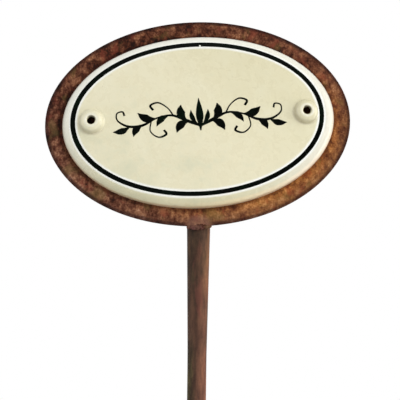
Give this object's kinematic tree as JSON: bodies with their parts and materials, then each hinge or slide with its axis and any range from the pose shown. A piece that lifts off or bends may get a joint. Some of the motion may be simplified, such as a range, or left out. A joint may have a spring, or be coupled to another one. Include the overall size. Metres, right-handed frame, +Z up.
{
  "type": "plant label stake",
  "caption": "Oval enamelled plant sign with raised screw bosses on a rusty steel back plate, welded to a tapered spike that is pushed into soil.",
  "frame": {"origin": "on the spike's axis, level with the soil when the spike is pushed in", "axes": "+Z up along the spike, +X to the right as the sign is read, and the sign faces -Y"},
  "size_m": [0.1242, 0.0183, 0.3011],
  "materials": {
    "enamel": "glossy cream vitreous enamel on pressed steel",
    "plate_rust": "mild steel sheet with an even coat of rust, rough",
    "stake_rust": "mild steel bar with dark rust, rough",
    "weld_rust": "rusted weld metal, rippled",
    "adhesive": "cured grey adhesive, hidden behind the sign"
  },
  "bodies": {
    "root": {"sign_plate": "enamel", "back_plate": "plate_rust", "stake": "stake_rust", "weld_left": "weld_rust", "weld_right": "weld_rust", "weld_top": "weld_rust", "weld_lower": "weld_rust", "adhesive_left": "adhesive", "adhesive_middle": "adhesive", "adhesive_right": "adhesive"}
  },
  "joints": []
}
